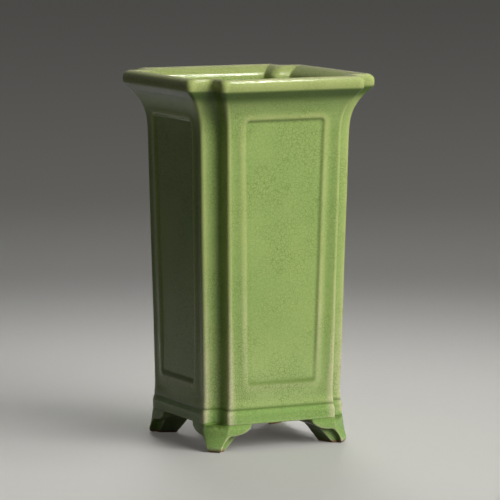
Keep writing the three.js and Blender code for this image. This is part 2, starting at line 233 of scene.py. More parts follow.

# Where the glaze thins, pools or stops, and where shade is painted into it: strengths as shares, places and
# reaches in metres
glazeLie = {
    "bandEdgeThin": 0.2,         # on the band's lower edge
    "bandEdgeReach": 0.0009,
    "seatDeep": 0.55,            # in the crease between the band and the wall
    "seatBandReach": 0.0009,
    "seatWallReach": 0.0014,
    "underLipShadeReach": 0.0044,     # painted shadow in the angle under the lip, where the glaze also pools
    "rollShadeTop": 0.0018,        # and painted shadow on the roll's underside, where the glaze also pools
    "rollShadeRun": 0.0026,
    "lipThin": 0.3,              # on the lip's face and its inner slope
    "panelDeep": (0.12, 0.85),   # round the edge of a field: along its sides, and along its foot
    "panelPoolIn": (0.0013, 0.0004),       # how far inside the edge it lies
    "panelPoolReach": (0.0010, 0.0023),
    "panelFootLeft": 0.62,       # share of it that is left at the foot's left end
    "channelShade": (0.14, 0.26), # painted shade in the hollow to the left and right of a panel, more in the right-hand one
    "crestThin": (0.25, 0.85),   # on the raised line, at its foot and further up
    "crestRun": 0.060,
    "borderThin": (0.75, 0.95),  # towards an arris, at its foot and further up
    "borderStart": (0.30, 0.86),
    "borderLow": 0.030,
    "borderRun": 0.100,
    "borderCurve": 1.4,
    "arrisThin": (0.95, 0.80),   # from the wall's face round to the notch
    "sideThin": 0.80,
    "sideCurve": 2.6,
    "filletDeep": 0.12,
    "insideEnd": 0.235,          # the glaze inside stops at this height
    "insideBlend": 0.020,
}

handMade = {
    "slowWave": 0.00030,         # how far the clay strays from true
    "slowScale": 14.0,
    "quickWave": 0.00005,
    "quickScale": 70.0,
    "lineWander": 0.00035,
    "lineScale": 22.0,
    "footFade": 0.002,           # it dies away towards the foot of the band and the rim
    "rimFade": 0.022,
}


def coveAt(z):
    s = bodyShape
    return s["coveReach"] * max(0.0, (s["bandTop"] + s["coveHeight"] - z) / s["coveHeight"]) ** 2


def straightHalf(z):
    s = bodyShape
    taper = (s["shoulderHalf"] - s["footHalf"]) / (s["shoulder"] - s["bandTop"])
    return s["footHalf"] + taper * (z - s["bandTop"])


def faceHalf(z):
    s = bodyShape
    rise = max(0.0, (z - s["shoulder"]) / (s["lipSeat"] - s["shoulder"]))
    return straightHalf(z) + (s["flareHalf"] - straightHalf(s["lipSeat"])) * rise ** 3 + coveAt(z)


def notchAt(half):
    s = bodyShape
    share = (half - s["shoulderHalf"]) / (s["lipHalf"] - s["shoulderHalf"])
    return mix(s["notchShoulder"], s["notchRim"], share)


def arrisAt(z):
    s = bodyShape
    if z > s["shoulder"]:
        return faceHalf(z) - notchAt(faceHalf(z))
    low = s["footHalf"] - s["notchFoot"]
    high = s["shoulderHalf"] - s["notchShoulder"]
    return mix(low, high, (z - s["bandTop"]) / (s["shoulder"] - s["bandTop"])) + coveAt(z)


# Where the inside meets the back of a corner, from the foot of a wall (0) to its shoulder (1)
def blockAt(share):
    s = bodyShape
    low = s["footHalf"] - s["notchFoot"] - s["notchWeb"]
    high = s["shoulderHalf"] - s["notchShoulder"] - s["notchWeb"]
    return mix(low, high, min(1.0, share))


# How far the panel's sides have drawn in at a height, as a share of their place at the top
def panelLean(z):
    p = panelShape
    share = (p["high"] - z) / (p["high"] - p["low"])
    return 1 - p["narrowing"] / p["half"] * min(p["leanEnd"], max(0.0, share))


# One row of the sheet: half width, height, arris, radii, how bare or thin the glaze is, and how deep it
# pools or is darkened with painted shade
def outerRow(half, z, arris, relief=False, radius=None, bare=0.0, thin=0.0, poolAndShade=0.0):
    radius = radius or bodyShape["arrisRadius"]
    fillet = bodyShape["notchFillet"]
    return dict(half=half, z=z, arris=arris, relief=relief, radius=radius, fillet=fillet,
                bare=bare, thin=thin, poolAndShade=poolAndShade, outer=True)


def innerRow(half, z, arris, bare=1.0, thin=0.0):
    return dict(half=half, z=z, arris=arris, relief=False, radius=bodyShape["innerArrisRadius"],
                fillet=bodyShape["notchInnerFillet"], bare=bare, thin=thin, poolAndShade=0.0, outer=False)


def bandRows():
    s, g = bodyShape, glazeLie
    half, foot, top, edge = s["bandHalf"], s["bandFoot"], s["bandTop"], s["bandEdge"]
    inside = half - s["bandThickness"]
    turn = (half, top - s["bandSlope"])
    face = spread([(foot + 2 * edge, 6), (turn[1] - s["bandSlopeLead"], 1)])
    seat = (faceHalf(top) - s["bandSeatIn"], top)
    outside = [(half - edge - s["bandUnder"], foot)]
    outside += arc((half - edge, foot + edge), (edge, edge), -math.pi / 2, 0, 5)
    outside += [(half, z) for z in face]
    outside += bezier((half, turn[1] - s["bandSlopeTurn"]), turn, seat, 8)
    rows = [innerRow(inside, foot, inside - s["notchFoot"])]
    for out, z in outside:
        underneath = out < half - 2 * edge
        thin = g["bandEdgeThin"] * hump(z - foot - edge, g["bandEdgeReach"])
        poolAndShade = g["seatDeep"] * hump(z - top, g["seatBandReach"])
        rows.append(outerRow(out, z, out - s["notchFoot"], bare=float(underneath), thin=thin, poolAndShade=poolAndShade))
    return rows


def wallRows():
    s, p, steps, g = bodyShape, panelShape, sheetGrid, glazeLie
    heights = spread([
        (s["bandTop"] + steps["seatGap"], 6),
        (s["bandTop"] + steps["seatRun"], 6),
        (p["low"] - steps["panelLead"], 1),
        (p["low"] - steps["panelOut"], 20),
        (p["low"] + steps["panelIn"], 34),
        (p["high"] - steps["panelIn"], 22),
        (p["high"] + steps["panelOut"], 14),
        (s["lipSeat"] - steps["lipGap"], 1),
    ])
    rows = []
    for z in heights:
        groove = s["seatGroove"] * hump(z - s["bandTop"], s["seatGrooveWidth"])
        # The angle under the lip gets painted shadow, carried with the pooled glaze's share
        under = hump(z - s["lipSeat"], g["underLipShadeReach"])
        seat = g["seatDeep"] * hump(z - s["bandTop"], g["seatWallReach"])
        half = faceHalf(z) - groove
        rows.append(outerRow(half, z, arrisAt(z) - groove, relief=True, poolAndShade=max(under, seat)))
    return rows


# The roll's underside, face and rounded top
def lipRows():
    s, g = bodyShape, glazeLie
    half, seat, flat = s["lipHalf"], s["lipSeat"], s["lipUnderFlat"]
    equator = s["rimTop"] - s["lipRoundHeight"]
    crest = half - s["lipRoundWidth"]
    edge = (half - s["lipUnderIn"], seat + s["lipUnderEdge"])
    below = (mix(s["flareHalf"], edge[0], flat), mix(seat, edge[1], flat))
    above = (half - s["lipFaceIn"], edge[1] + s["lipFaceStart"])
    under = [(s["flareHalf"], seat)] + bezier(below, edge, above, 5) + [(half, equator)]
    over = arc((crest, equator), (half - crest, s["rimTop"] - equator), 0, math.pi / 2, 9)
    rows = []
    for out, z in under + over[1:]:
        share = ease((z - seat) / (equator - seat))
        radius = mix(s["arrisRadius"], s["lipArrisRadius"], share)
        # Painted shadow on the roll's underside, with the glaze pooling there as well
        rollShade = ease((edge[1] + g["rollShadeTop"] - z) / g["rollShadeRun"])
        thin = g["lipThin"] * share
        rows.append(outerRow(out, z, out - notchAt(out), radius=radius, thin=thin, poolAndShade=rollShade))
    return rows


# The rim's slope from its crest down into the mouth
def mouthRows():
    s = bodyShape
    mouth, top, drop = s["mouthHalf"], s["rimTop"], s["lipInnerDrop"]
    crest = s["lipHalf"] - s["lipRoundWidth"]
    narrower = (crest - notchAt(crest) - blockAt(1.0)) / (crest - mouth)
    start, end = (mouth + s["lipInnerRun"], top), (mouth, top - drop)
    slope = (mix(start[0], end[0], s["lipInnerStart"]), top - s["lipInnerStartDrop"])
    shoulder = (mouth + s["lipInnerBulge"], top - s["lipInnerShoulder"])
    inner = bezier((crest - s["lipCrestIn"], top), start, slope, 6)
    inner += bezier(slope, shoulder, end, 14)[1:]
    rows = []
    for half, z in inner:
        thin = glazeLie["lipThin"] * ease((z - top + drop) / drop)
        block = blockAt(1.0) + (half - mouth) * narrower
        rows.append(innerRow(half, z, block, bare=0.0, thin=thin))
    return rows


def insideRows():
    s, g = bodyShape, glazeLie
    start = s["rimTop"] - s["lipInnerDrop"] - s["mouthLead"]
    glazeFoot = g["insideEnd"] - sheetGrid["insideRun"]
    heights = spread([(start, 2), (s["lipSeat"], 10), (glazeFoot, 12), (s["bandTop"], 1)])
    rows = []
    for z in heights[:-1]:
        half = straightHalf(z) - s["wallThickness"]
        if z > s["shoulder"]:
            lift = (z - s["shoulder"]) / (s["lipSeat"] - s["shoulder"])
            half = mix(s["shoulderHalf"] - s["wallThickness"], s["mouthHalf"], min(1.0, lift))
        block = blockAt((z - s["bandTop"]) / (s["shoulder"] - s["bandTop"]))
        bare = ease((g["insideEnd"] + g["insideBlend"] / 2 - z) / g["insideBlend"])
        rows.append(innerRow(half, z, block, bare=bare))
    inside = s["bandHalf"] - s["bandThickness"]
    rows.append(innerRow(s["footHalf"] - s["wallThickness"], s["bandTop"], blockAt(0.0)))
    rows.append(innerRow(inside, s["bandTop"], inside - s["notchFoot"]))
    rows.append(innerRow(inside, s["bandFoot"], inside - s["notchFoot"]))
    return rows


# Columns of the sheet, from the middle of a wall to the diagonal of the corner: a zone and a share
def cornerColumns():
    half, steps = panelShape["half"], sheetGrid
    lead, start, end = half - steps["lineLead"], half - steps["lineIn"], half + steps["lineOut"]
    columns = [("face", place) for place in spread([(0, 5), (lead, 3), (start, 20), (end, 1)])]
    for zone, count in steps["zones"]:
        columns += [(zone, i / count) for i in range(1, count + 1)]
    return columns


# Where a column meets a row: distance along the face, and distance out
def placeOnPlan(column, row):
    zone, share = column
    turn = row["arris"] - row["radius"]
    lean = panelLean(row["z"])
    lastFixed = (panelShape["half"] + sheetGrid["lineOut"]) * lean
    if zone == "face":
        along, out = share * lean, row["half"]
    elif zone == "border":
        along, out = mix(lastFixed, turn, share), row["half"]
    elif zone == "arris":
        angle = share * math.pi / 2
        along = turn + row["radius"] * math.sin(angle)
        out = row["half"] - row["radius"] * (1 - math.cos(angle))
    elif zone == "side":
        along = row["arris"]
        out = mix(row["half"] - row["radius"], row["arris"] + row["fillet"], share)
    else:
        angle = share * math.pi / 4
        along = row["arris"] + row["fillet"] * (1 - math.cos(angle))
        out = row["arris"] + row["fillet"] * (1 - math.sin(angle))
    return along, out


# How thin and how deep the glaze lies on each zone of the plan
def glazeOnPlan(column, row):
    g = glazeLie
    zone, share = column
    thin, poolAndShade = 0.0, 0.0
    if row["outer"] and zone == "border":
        up = ease((row["z"] - g["borderLow"]) / g["borderRun"])
        start = mix(*g["borderStart"], up)
        thin = mix(*g["borderThin"], up) * ease((share - start) / (1 - start)) ** g["borderCurve"]
    elif row["outer"] and zone == "arris":
        thin = mix(*g["arrisThin"], share)
    elif row["outer"] and zone == "side":
        thin = g["sideThin"] * (1 - share) ** g["sideCurve"]
    elif row["outer"] and zone == "fillet":
        poolAndShade = g["filletDeep"] * share
    return thin, poolAndShade


def fieldDistance(u, z):
    p = panelShape
    x = abs(u) / panelLean(z) - (p["half"] - p["corner"])
    y = abs(z - (p["low"] + p["high"]) / 2) - ((p["high"] - p["low"]) / 2 - p["corner"])
    return math.hypot(max(x, 0.0), max(y, 0.0)) + min(max(x, y), 0.0) - p["corner"]


# Where a place on a wall lies: how far out from the panel's edge, and its shares of the raised line,
# of the hollow beside it, of the panel's foot and of its field
def placeOnPanel(u, z, row, rightHand):
    p = panelShape
    distance = fieldDistance(u + (p["rightShift"] if rightHand else 0), z)
    turn = row["arris"] - row["radius"]
    beyond = distance - p["crestAt"]
    across = min(1.0, max(0.0, beyond / max(hair, turn - u + beyond)))
    across = max(0.0, (across - p["channelStart"]) / (1 - p["channelStart"]))
    length = ease((p["channelHigh"] - z) / p["channelEnd"]) * ease((z - p["channelLow"]) / p["channelEnd"])
    foot = ease((p["low"] + p["footStart"] - z) / p["footBlend"])
    field = ease(0.5 - distance / mix(p["slope"], p["footSlope"], foot))
    return dict(distance=distance, crest=hump(beyond, p["crestWidth"]),
                channel=length * math.sin(math.pi * across), foot=foot, field=field)


def reliefDepth(place, z):
    p = panelShape
    outside = p["crestRise"] * place["crest"] - p["channelSink"] * place["channel"]
    depth = mix(p["footDepth"], p["depth"], ease((z - p["low"]) / p["footRun"]))
    depth *= mix(p["topDepth"], 1.0, ease((p["high"] - z) / p["topRun"]))
    groove = p["grooveDepth"] * hump(place["distance"] + p["grooveAt"], p["grooveWidth"])
    sunk = -depth - groove - (faceHalf(z) - straightHalf(z))
    return mix(outside, sunk, place["field"])


# How thin and how deep the glaze lies on the relief, with painted shade in the hollows beside a panel
def glazeOnRelief(place, u, z, rightHand):
    p, g = panelShape, glazeLie
    foot = place["foot"]
    fromLeft = 0.5 + 0.5 * u / p["half"] * (1 if rightHand else -1)
    pool = mix(g["panelDeep"][0], g["panelDeep"][1] * mix(g["panelFootLeft"], 1.0, fromLeft), foot)
    pool *= hump(place["distance"] + mix(*g["panelPoolIn"], foot), mix(*g["panelPoolReach"], foot))
    # Painted shade in the hollow beside the raised line, stronger on the right-hand side
    shade = g["channelShade"][rightHand] * place["channel"]
    thin = mix(*g["crestThin"], ease((z - p["low"]) / g["crestRun"])) * place["crest"]
    return thin * (1 - place["field"]), max(pool, shade)


# The slight unevenness of hand work
def strayFromTrue(bm):
    h = handMade
    for vert in bm.verts:
        slow = noise.noise(vert.co * h["slowScale"])
        quick = noise.noise(vert.co * h["quickScale"])
        keep = ease((vert.co.z - bodyShape["bandFoot"]) / h["footFade"])
        keep *= ease((cadBox[1].z - vert.co.z) / h["rimFade"])
        vert.co += vert.normal * (h["slowWave"] * slow + h["quickWave"] * quick) * keep


# A quarter of the body is a flat grid wrapped on its section and plan, and a spin copies it round
def buildBody():
    rows = bandRows() + wallRows() + lipRows() + mouthRows() + insideRows()
    half = cornerColumns()
    columns = half + half[-2::-1]
    lastColumn, lastRow = len(columns) - 1, len(rows) - 1
    bm = bmesh.new()
    layers = [bm.verts.layers.float.new(name) for name in glazeLayers]
    bmesh.ops.create_grid(bm, x_segments=lastColumn, y_segments=lastRow, size=1.0)
    for vert in bm.verts:
        c = round((vert.co.x + 1) / 2 * lastColumn)
        row = rows[round((vert.co.y + 1) / 2 * lastRow)]
        column, z = columns[c], row["z"]
        rightHand = c >= len(half)
        along, out = placeOnPlan(column, row)
        thin, poolAndShade = glazeOnPlan(column, row)
        if row["relief"] and column[0] in ("face", "border"):
            wander = noise.noise(Vector((rightHand, 0, z * handMade["lineScale"])))
            u = along + handMade["lineWander"] * wander
            place = placeOnPanel(u, z, row, rightHand)
            out += reliefDepth(place, z)
            thinRelief, reliefPoolAndShade = glazeOnRelief(place, u, z, rightHand)
            thin, poolAndShade = max(thin, thinRelief), max(poolAndShade, reliefPoolAndShade)
        for layer, value in zip(layers, (max(thin, row["thin"]), max(poolAndShade, row["poolAndShade"]), row["bare"])):
            vert[layer] = value
        x, y = (out, along) if rightHand else (along, out)
        vert.co = Vector((-x, -y, z))
    quarter = bm.verts[:] + bm.edges[:] + bm.faces[:]
    bmesh.ops.spin(bm, geom=quarter, cent=(0, 0, 0), axis=(0, 0, 1), angle=math.pi * 1.5,
                   steps=3, use_duplicate=True)
    bmesh.ops.remove_doubles(bm, verts=bm.verts, dist=3 * hair)
    bmesh.ops.recalc_face_normals(bm, faces=bm.faces)
    bm.normal_update()
    strayFromTrue(bm)
    return newPiece("glazedBody", bm)


print("body: wrapping and spinning the sheet")
body = buildBody()
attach(body, "root")
bodyNodes = [f"{part}_{side}" for part in ("base_band", "wall", "lip") for side in sides]
bodyNodes += [f"{part}_{corner}" for part in ("corner", "lip_corner") for corner in corners]
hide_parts(*bodyNodes)
print("body:", len(body.data.polygons), "faces")


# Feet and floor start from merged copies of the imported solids

footFinish = {
    "voxel": 0.00062,            # size of the remesh that fuses and softens the foot's edges
    "softening": 9,
    "sunk": 0.0030,              # how far the foot's top goes up into the band
    "ledgeDrop": 0.0004,         # in the notch the top is a ledge, this far below the band
    "ledgeKeep": 0.1,            # share of its unevenness that is kept
    "curveSteps": 5,
    "curveFull": 0.00016,        # how far smoothing moves a fully sharp arris
    "thinTop": 0.0008,           # arrises are thinly glazed from below the band down
    "thinRun": 0.0040,
    "creaseDeep": 0.5,
    "seatDeep": (0.15, 0.90),    # pooled glaze under the band, outside and inside the notch
    "seatReach": 0.0015,
    "notchLead": 0.001,          # the change between them starts this far outside the notch
    "notchRun": 0.003,
    "padShade": 0.55,             # painted shade on the pad behind the bracket
    "padIn": 0.006,
    "padRun": 0.002,
    "bareLow": 0.0018,           # the sole is wiped clean of glaze below this height
    "bareRun": 0.0012,
}

floorFinish = {
    "drainReach": 0.0085,        # edges nearer the middle than this belong to the drain hole
    "drainEdge": 0.0012,
    "drainSegments": 4,
}


def mergedCopy(node):
    bm = bmesh.new()
    bm.from_mesh(frame["nodes"][node].data)
    bmesh.ops.remove_doubles(bm, verts=bm.verts, dist=2 * hair)
    return bm


# How sharply the surface turns at each vertex: out on an arris, in along a crease
def surfaceTurn(bm, steps):
    before = [vert.co.copy() for vert in bm.verts]
    normals = [vert.normal.copy() for vert in bm.verts]
    for _ in range(steps):
        bmesh.ops.smooth_vert(bm, verts=bm.verts, factor=0.5,
                              use_axis_x=True, use_axis_y=True, use_axis_z=True)
    turn = [(a - vert.co).dot(n) for a, n, vert in zip(before, normals, bm.verts)]
    for vert, place in zip(bm.verts, before):
        vert.co = place
    return turn


# How thin, deep or bare the glaze is at a place on a foot, with painted shade on the pad behind the bracket
def glazeOnFoot(place, turn):
    f, s = footFinish, bodyShape
    inner, outer = sorted((abs(place.x), abs(place.y)))
    notch = s["bandHalf"] - s["notchFoot"]
    below = ease((footTop - f["thinTop"] - place.z) / f["thinRun"])
    within = ease((inner - notch + f["notchLead"]) / f["notchRun"])
    seat = mix(*f["seatDeep"], within) * hump(place.z - footTop + f["ledgeDrop"], f["seatReach"])
    # Painted shade on the pad behind the bracket
    behindShade = f["padShade"] * ease((s["bandHalf"] - f["padIn"] - outer) / f["padRun"]) * (1 - within)
    thin = below * ease(turn / f["curveFull"])
    poolAndShade = max(f["creaseDeep"] * ease(-turn / f["curveFull"]), seat, behindShade)
    return thin, poolAndShade, ease(0.5 - (place.z - f["bareLow"]) / f["bareRun"])


def buildFoot(corner):
    f = footFinish
    bm = mergedCopy(f"foot_{corner}")
    for vert in bm.verts:
        if vert.co.z > footTop - 10 * hair:
            vert.co.z += f["sunk"]
    rough = newPiece(f"roughFoot_{corner}", bm)
    remesh = rough.modifiers.new("fuse", "REMESH")
    remesh.mode = "VOXEL"
    remesh.voxel_size = f["voxel"]
    soften = rough.modifiers.new("soften", "SMOOTH")
    soften.factor = 0.5
    soften.iterations = f["softening"]
    ready = rough.evaluated_get(bpy.context.evaluated_depsgraph_get())
    bm = bmesh.new()
    bm.from_mesh(ready.to_mesh())
    bpy.data.objects.remove(rough)
    ledge = footTop - f["ledgeDrop"]
    notch = bodyShape["bandHalf"] - bodyShape["notchFoot"]
    for vert in bm.verts:
        if min(abs(vert.co.x), abs(vert.co.y)) > notch and vert.co.z > ledge:
            vert.co.z = mix(ledge, vert.co.z, f["ledgeKeep"])
    layers = [bm.verts.layers.float.new(name) for name in glazeLayers]
    bm.normal_update()
    for vert, turn in zip(bm.verts, surfaceTurn(bm, f["curveSteps"])):
        for layer, value in zip(layers, glazeOnFoot(vert.co, turn)):
            vert[layer] = value
    strayFromTrue(bm)
    return newPiece(f"bracketFoot_{corner}", bm)


def buildFloor():
    f = floorFinish
    bm = mergedCopy("floor_slab")
    rim = [edge for edge in bm.edges if all(vert.co.xy.length < f["drainReach"] for vert in edge.verts)]
    rim = [edge for edge in rim if abs(edge.verts[0].co.z - edge.verts[1].co.z) < hair]
    bmesh.ops.bevel(bm, geom=rim, offset=f["drainEdge"], segments=f["drainSegments"],
                    profile=0.5, affect="EDGES", material=-1)
    return newPiece("pottedFloor", bm)


print("feet: fusing and softening")
feet = [buildFoot(corner) for corner in corners]
for foot, corner in zip(feet, corners):
    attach(foot, "root")
    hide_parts(f"foot_{corner}")

print("floor: easing the drain hole")
floorSlab = buildFloor()
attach(floorSlab, "root")
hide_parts("floor_slab")


# Materials. Scales are per metre and heights in metres. A range of four ends with the shares at its ends.

glazeFinish = {
    "green": (0.342, 0.460, 0.139, 1),
    "patch": (0.300, 0.434, 0.128, 1),       # slow drift of the green across a side
    "patchScale": 16.0,
    "patchRange": (0.35, 0.65),
    "lush": (0.252, 0.420, 0.110, 1),        # greener on the band and feet
    "lushEnd": (0.0335, 0.0365),
    "milky": (0.395, 0.510, 0.185, 1),       # the foot of the walls is lighter
    "milkyRange": (0.040, 0.110, 0.75, 0.0),
    "lip": (0.392, 0.438, 0.158, 1),         # the lip is yellower
    "lipRise": (0.003, 0.006),               # from here above its seat
    "lipShare": 0.9,
    "crest": (0.600, 0.560, 0.330, 1),       # and paler along its top: a painted highlight where the top faces up
    "toplitDrop": (0.0022, 0.0003),           # from here below the rim
    "toplitShare": 0.85,
    "thin": (0.475, 0.540, 0.190, 1),        # where it breaks over an arris
    "thinRange": (0.25, 0.70, 0.70, 1.0),    # a little unevenly
    "cloudScale": 90.0,
    "pale": (0.680, 0.630, 0.385, 1),        # the clay shows through on arrises near the foot
    "paleRange": (0.030, 0.170),
    "poolAndShade": (0.085, 0.150, 0.018, 1),        # where it pools in a groove, and painted shade under the lip, in the hollows beside each panel and on the pads behind the feet's brackets
    "craze": (0.165, 0.255, 0.055, 1),
    "crazeCells": (280.0, 680.0),            # the wide and the fine net
    "crazeWidth": (0.085, 0.110),
    "crazeStrength": (0.54, 0.62),
    "crazeSink": 0.02,
    "crazeRoughness": 0.10,
    "bendScale": 140.0,                      # bends the lines of both nets
    "bendReach": 0.0022,
    "wornScale": 28.0,                       # and lets them fade in places
    "wornRange": (0.38, 0.62, 0.45, 1.0),
    "wornThin": 0.7,                         # most where the glaze is thin
    "cellTone": 0.26,
    "bareRagged": 0.5,                       # where it stops at bare clay
    "bareRange": (0.44, 0.56),
    "lumpScale": 110.0,
    "wave": 0.014,
    "roughness": 0.06,
    "ior": 1.43,
    "shine": 0.38,
}

clayFinish = {
    "body": (0.470, 0.270, 0.140, 1),
    "dark": (0.240, 0.110, 0.050, 1),
    "grit": 900.0,
    "gritRange": (0.42, 0.75, 0.0, 0.5),
    "gritRelief": 0.25,                      # where the clay lies bare beside glaze
    "cloudScale": 45.0,
    "cloudRange": (0.35, 0.70, 0.0, 0.4),
    "bumpStrength": 0.8,
    "bumpHeight": 0.0004,
    "roughness": 0.82,
}


# Adds one node, sets its values and links its sockets
def addNode(tree, kind, values=None, links=None, **settings):
    node = tree.nodes.new(kind)
    for name, value in settings.items():
        setattr(node, name, value)
    for socket, value in (values or {}).items():
        node.inputs[socket].default_value = value
    for socket, source in (links or {}).items():
        tree.links.new(source, node.inputs[socket])
    return node


# Sets each socket to a plain value, or links it to another node's output
def feed(tree, sockets, sources):
    for socket, source in zip(sockets, sources):
        if isinstance(source, (int, float, tuple)):
            socket.default_value = source
        else:
            tree.links.new(source, socket)


def maths(tree, operation, a, b):
    node = addNode(tree, "ShaderNodeMath", operation=operation)
    feed(tree, node.inputs, (a, b))
    return node.outputs[0]


def blendColour(tree, share, a, b):
    node = addNode(tree, "ShaderNodeMix", data_type="RGBA")
    feed(tree, (node.inputs[0], node.inputs[6], node.inputs[7]), (share, a, b))
    return node.outputs[2]


def rangeOf(tree, value, low, high, toLow=0.0, toHigh=1.0):
    node = addNode(tree, "ShaderNodeMapRange", interpolation_type="SMOOTHSTEP")
    tree.links.new(value, node.inputs["Value"])
    for socket, number in zip(("From Min", "From Max", "To Min", "To Max"), (low, high, toLow, toHigh)):
        node.inputs[socket].default_value = number
    return node.outputs["Result"]


def noiseNode(tree, place, scale, detail=2.0, roughness=0.5):
    values = {"Scale": scale, "Detail": detail, "Roughness": roughness}
    return addNode(tree, "ShaderNodeTexNoise", values, {"Vector": place})


def noiseOf(tree, place, scale, detail=2.0, roughness=0.5):
    return noiseNode(tree, place, scale, detail, roughness).outputs["Fac"]


def voronoiNode(tree, place, cells, feature):
    return addNode(tree, "ShaderNodeTexVoronoi", {"Scale": cells}, {"Vector": place}, feature=feature)


def newMaterial(name):
    material = bpy.data.materials.new(name)
    material.use_nodes = True
    tree = material.node_tree
    tree.nodes.clear()
    place = addNode(tree, "ShaderNodeTexCoord").outputs["Object"]
    return material, tree, place


def clayColour(tree, place):
    c = clayFinish
    grit = noiseOf(tree, place, c["grit"], 3.0, 0.6)
    cloud = noiseOf(tree, place, c["cloudScale"], 3.0)
    shade = maths(tree, "ADD", rangeOf(tree, grit, *c["gritRange"]), rangeOf(tree, cloud, *c["cloudRange"]))
    return blendColour(tree, shade, c["body"], c["dark"]), grit


# The place with its coordinates pushed about a little, so that the crackle isn't straight
def bentPlace(tree, place):
    bend = noiseNode(tree, place, glazeFinish["bendScale"]).outputs["Color"]
    reach = (glazeFinish["bendReach"],) * 3
    shift = addNode(tree, "ShaderNodeVectorMath", {1: reach}, {0: bend}, operation="MULTIPLY").outputs[0]
    return addNode(tree, "ShaderNodeVectorMath", None, {0: place, 1: shift}, operation="ADD").outputs[0]


# A net of hair lines: 1 on a line, 0 inside a cell
def crazeNet(tree, place, cells, width):
    cell = voronoiNode(tree, place, cells, "DISTANCE_TO_EDGE")
    return rangeOf(tree, cell.outputs["Distance"], 0.0, width, 1.0, 0.0)


# A random value for each cell of the same net
def crazeTone(tree, place, cells):
    cell = voronoiNode(tree, place, cells, "F1")
    return addNode(tree, "ShaderNodeSeparateColor", None, {"Color": cell.outputs["Color"]}).outputs[0]


# The green of the glaze, which changes with height and drifts across a side
def glazeGreen(tree, place, height):
    g, s = glazeFinish, bodyShape
    drift = noiseOf(tree, place, g["patchScale"], 3.0)
    colour = blendColour(tree, rangeOf(tree, drift, *g["patchRange"]), g["green"], g["patch"])
    onWall = rangeOf(tree, height, *g["lushEnd"])
    colour = blendColour(tree, onWall, g["lush"], colour)
    lowWall = maths(tree, "MULTIPLY", onWall, rangeOf(tree, height, *g["milkyRange"]))
    colour = blendColour(tree, lowWall, colour, g["milky"])
    lipHeights = [s["lipSeat"] + rise for rise in g["lipRise"]]
    colour = blendColour(tree, rangeOf(tree, height, *lipHeights, 0.0, g["lipShare"]), colour, g["lip"])
    # Painted highlight along the upward-facing top of the rim
    toplitHeights = [s["rimTop"] - drop for drop in g["toplitDrop"]]
    return blendColour(tree, rangeOf(tree, height, *toplitHeights, 0.0, g["toplitShare"]), colour, g["crest"])


def crackledGlaze():
    g = glazeFinish
    material, tree, place = newMaterial("crackledGreenGlaze")
    thin, poolAndShade, bareShare = [addNode(tree, "ShaderNodeAttribute", attribute_name=name).outputs["Fac"]
                             for name in glazeLayers]
    height = addNode(tree, "ShaderNodeSeparateXYZ", None, {0: place}).outputs["Z"]
    cloud = noiseOf(tree, place, g["cloudScale"], 3.0, 0.55)
    bent = bentPlace(tree, place)
    nets = [crazeNet(tree, bent, cells, width) for cells, width in zip(g["crazeCells"], g["crazeWidth"])]

    colour = glazeGreen(tree, place, height)
    tone = maths(tree, "MULTIPLY", crazeTone(tree, bent, g["crazeCells"][1]), g["cellTone"])
    colour = blendColour(tree, tone, colour, g["thin"])
    thinColour = blendColour(tree, rangeOf(tree, height, *g["paleRange"]), g["pale"], g["thin"])
    thinEdge = maths(tree, "MULTIPLY", thin, rangeOf(tree, cloud, *g["thinRange"]))
    colour = blendColour(tree, thinEdge, colour, thinColour)
    # Pooled glaze, and painted shade under the lip, in the hollows beside each panel and behind the feet's
    # brackets
    colour = blendColour(tree, poolAndShade, colour, g["poolAndShade"])

    fade = maths(tree, "SUBTRACT", 1.0, maths(tree, "MULTIPLY", thinEdge, g["wornThin"]))
    worn = rangeOf(tree, noiseOf(tree, place, g["wornScale"]), *g["wornRange"])
    worn = maths(tree, "MULTIPLY", worn, fade)
    for net, strength in zip(nets, g["crazeStrength"]):
        share = maths(tree, "MULTIPLY", maths(tree, "MULTIPLY", net, strength), worn)
        colour = blendColour(tree, share, colour, g["craze"])

    unevenness = maths(tree, "MULTIPLY", maths(tree, "SUBTRACT", cloud, 0.5), g["bareRagged"])
    bare = rangeOf(tree, maths(tree, "ADD", bareShare, unevenness), *g["bareRange"])
    clay, grit = clayColour(tree, place)
    colour = blendColour(tree, bare, colour, clay)
    roughness = maths(tree, "ADD", maths(tree, "MULTIPLY", nets[0], g["crazeRoughness"]), g["roughness"])
    roughness = addNode(tree, "ShaderNodeMix", {3: clayFinish["roughness"]}, {0: bare, 2: roughness})

    lumps = maths(tree, "MULTIPLY", noiseOf(tree, place, g["lumpScale"], 1.0), g["wave"])
    relief = maths(tree, "SUBTRACT", lumps, maths(tree, "MULTIPLY", nets[0], g["crazeSink"]))
    gritty = maths(tree, "MULTIPLY", maths(tree, "MULTIPLY", grit, bare), clayFinish["gritRelief"])
    relief = maths(tree, "ADD", relief, gritty)
    bump = addNode(tree, "ShaderNodeBump", {"Strength": 1.0, "Distance": 0.001}, {"Height": relief})
    shader = addNode(tree, "ShaderNodeBsdfPrincipled", {"IOR": g["ior"], "Specular IOR Level": g["shine"]},
                     {"Base Color": colour, "Roughness": roughness.outputs[0], "Normal": bump.outputs[0]})
    addNode(tree, "ShaderNodeOutputMaterial", None, {"Surface": shader.outputs[0]})
    return material


def bareClay():
    c = clayFinish
    material, tree, place = newMaterial("bareFiredClay")
    clay, grit = clayColour(tree, place)
    bump = addNode(tree, "ShaderNodeBump", {"Strength": c["bumpStrength"], "Distance": c["bumpHeight"]},
                   {"Height": grit})
    shader = addNode(tree, "ShaderNodeBsdfPrincipled", {"Roughness": c["roughness"]},
                     {"Base Color": clay, "Normal": bump.outputs[0]})
    addNode(tree, "ShaderNodeOutputMaterial", None, {"Surface": shader.outputs[0]})
    return material


